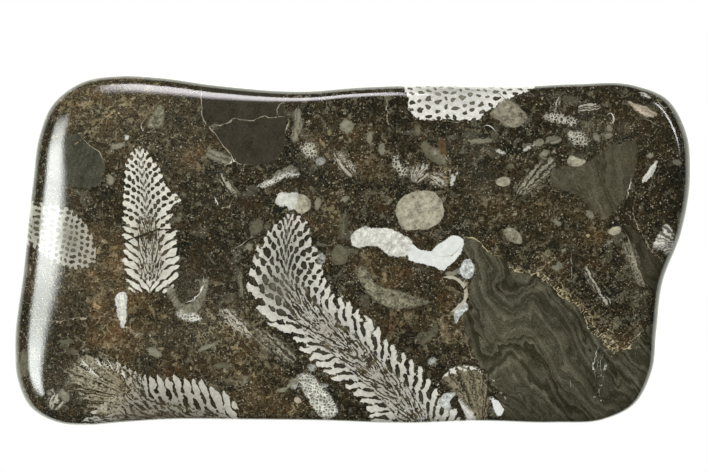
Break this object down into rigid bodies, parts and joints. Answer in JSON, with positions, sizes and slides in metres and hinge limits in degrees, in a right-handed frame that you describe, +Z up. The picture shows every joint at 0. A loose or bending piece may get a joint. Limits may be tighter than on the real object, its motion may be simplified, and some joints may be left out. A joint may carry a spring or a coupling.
{
  "type": "polished fossil coral plate",
  "caption": "Polished slab of dark limestone full of white fossil corals, with a wavy outline and rolled edges, lying on its flat sawn back.",
  "frame": {"origin": "on the flat sawn back that the plate rests on, under the middle of the outline's box", "axes": "+X along the plate's length, towards its waisted end; +Y across it; +Z up, out of the polished face"},
  "size_m": [0.1558, 0.0806, 0.014],
  "materials": {
    "polished_limestone": "dark olive-brown coral limestone, ground flat and polished to a gloss, with white coral sections and honed sawn back"
  },
  "bodies": {
    "root": {"coral_plate": "polished_limestone"}
  },
  "joints": []
}
